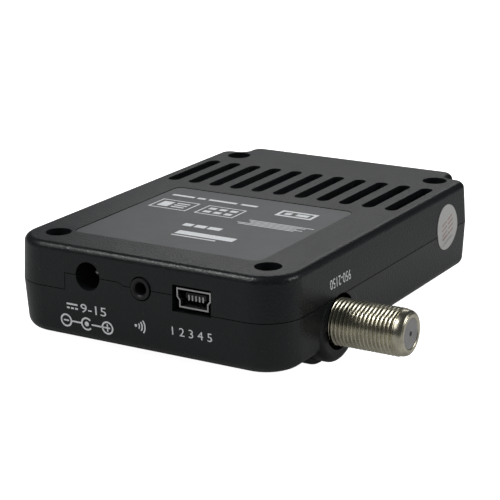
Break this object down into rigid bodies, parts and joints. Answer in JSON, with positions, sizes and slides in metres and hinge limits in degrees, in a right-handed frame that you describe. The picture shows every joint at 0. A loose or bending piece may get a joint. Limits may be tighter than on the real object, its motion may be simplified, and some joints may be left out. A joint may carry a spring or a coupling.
{
  "type": "satellite television receiver",
  "caption": "Palm-sized satellite TV receiver: vented black two-shell case, threaded aerial connector on one side, power, sensor and data sockets on one end.",
  "frame": {"origin": "centre of the case's flat lower face, the face away from the vents and label", "axes": "+Z towards the vented, labelled face; +Y from the jack wall to the far end; +X towards the wall with the aerial connector"},
  "size_m": [0.0795, 0.0891, 0.0237],
  "materials": {
    "case_plastic": "black ABS with a fine satin moulded texture",
    "label_film": "dark grey semi-gloss printed film",
    "seal_paper": "pale brittle paper seal",
    "screw_steel": "black zinc plated",
    "nickel_plate": "bright nickel plate",
    "tin_plate": "tinned sheet steel",
    "ivory_plastic": "moulded, satin",
    "contact_metal": "plated spring bronze",
    "chip_resin": "moulded epoxy",
    "board_laminate": "green solder mask over glass laminate",
    "jack_plastic": "black moulded nylon",
    "pad_rubber": "soft silicone pad",
    "sink_aluminium": "plain",
    "ferrite": "pressed powder"
  },
  "bodies": {
    "receiver": {"case_screws": "screw_steel", "chip_passives": "ferrite", "circuit_board": "board_laminate", "clock_crystal": "tin_plate", "dc_jack_housing": "jack_plastic", "dc_jack_pin": "nickel_plate", "dc_jack_terminal": "contact_metal", "decoder_chip": "chip_resin", "f_connector_body": "nickel_plate", "f_connector_contact": "contact_metal", "f_connector_insulator": "ivory_plastic", "filter_capacitors": "sink_aluminium", "flash_chip": "chip_resin", "hdmi_contacts": "contact_metal", "hdmi_shell": "nickel_plate", "hdmi_tongue": "jack_plastic", "heat_sink": "sink_aluminium", "ir_jack_housing": "jack_plastic", "ir_jack_terminal": "contact_metal", "lower_shell": "case_plastic", "memory_chip": "chip_resin", "power_inductors": "ferrite", "rating_plate": "label_film", "regulator_chips": "chip_resin", "seal_sticker": "seal_paper", "thermal_pad": "pad_rubber", "tuner_can": "tin_plate", "tuner_chip": "chip_resin", "tuner_crystal": "tin_plate", "tuner_lid": "tin_plate", "upper_shell": "case_plastic", "usb_contacts": "contact_metal", "usb_shell": "nickel_plate", "usb_tongue": "jack_plastic"},
    "dc_spring": {"dc_jack_spring": "contact_metal"},
    "ir_spring": {"ir_jack_spring": "contact_metal"}
  },
  "joints": [
    {"name": "dc_contact_flex", "type": "hinge", "parent": "receiver", "child": "dc_spring", "pos_m": [-0.0094, -0.0325, 0.0139], "axis": [0, 0, 1], "range_deg": [0, 6], "stiffness_Nm_per_rad": 0.002},
    {"name": "ir_contact_flex", "type": "hinge", "parent": "receiver", "child": "ir_spring", "pos_m": [0.0016, -0.0351, 0.01335], "axis": [0, 0, 1], "range_deg": [0, 6], "stiffness_Nm_per_rad": 0.001}
  ]
}
